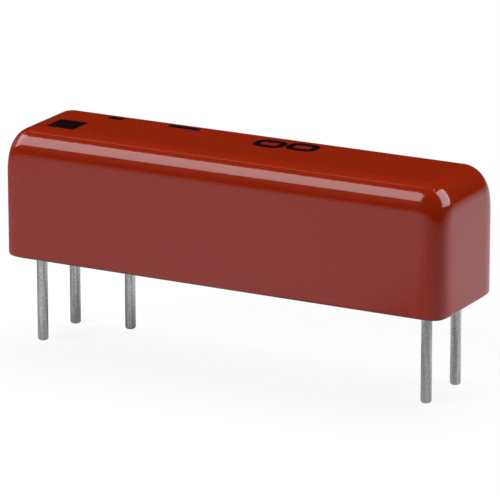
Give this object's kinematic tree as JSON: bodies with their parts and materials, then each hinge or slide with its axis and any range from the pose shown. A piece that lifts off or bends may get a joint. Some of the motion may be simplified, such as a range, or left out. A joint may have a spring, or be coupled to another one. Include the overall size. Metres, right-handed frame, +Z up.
{
  "type": "reed relay",
  "caption": "Reed relay in a slim moulded shell with round pins for a circuit board, holding a coil, a foil shield and a sealed reed switch.",
  "frame": {"origin": "middle of the shell's rim, on the plane that seats on a circuit board", "axes": "+X along the body, away from the end with the printed pin one mark, +Y across it towards the row with the shield pin, +Z up from the board"},
  "size_m": [0.0288, 0.0072, 0.0132],
  "materials": {
    "shell_red": "glossy brick red moulding",
    "potting_resin": "dull dark resin, poured from below",
    "bobbin_black": "plain black moulding",
    "enamelled_copper": "enamelled copper wire",
    "polyester_tape": "thin yellow tape",
    "shield_foil": "bright rolled foil",
    "reed_glass": "clear greenish glass",
    "reed_alloy": "plated nickel iron",
    "tinned_pin": "dull tinned wire",
    "solder": "smooth solder",
    "black_ink": "printed black ink"
  },
  "bodies": {
    "relay": {"shell": "shell_red", "potting": "potting_resin", "bobbin": "bobbin_black", "coil_winding": "enamelled_copper", "coil_tape": "polyester_tape", "electrostatic_shield": "shield_foil", "glass_capsule": "reed_glass", "left_reed_lead": "reed_alloy", "right_reed_lead": "reed_alloy", "left_switch_pin": "tinned_pin", "right_switch_pin": "tinned_pin", "left_coil_pin": "tinned_pin", "right_coil_pin": "tinned_pin", "shield_pin": "tinned_pin", "coil_start_wire": "enamelled_copper", "coil_end_wire": "enamelled_copper", "solder_joints": "solder", "pin_one_mark": "black_ink", "print_marks": "black_ink"},
    "left_reed": {"left_reed_blade": "reed_alloy"},
    "right_reed": {"right_reed_blade": "reed_alloy"}
  },
  "joints": [
    {"name": "left_reed_bend", "type": "hinge", "parent": "relay", "child": "left_reed", "pos_m": [-0.00299, 0, 0.00373], "axis": [0, -1, 0], "range_deg": [0, 0.85], "stiffness_Nm_per_rad": 0.002},
    {"name": "right_reed_bend", "type": "hinge", "parent": "relay", "child": "right_reed", "pos_m": [0.00681, 0, 0.00407], "axis": [0, -1, 0], "range_deg": [0, 0.85], "stiffness_Nm_per_rad": 0.002}
  ],
  "couplings": [
    {"joint": "right_reed_bend", "follows": "left_reed_bend", "ratio": 1}
  ]
}
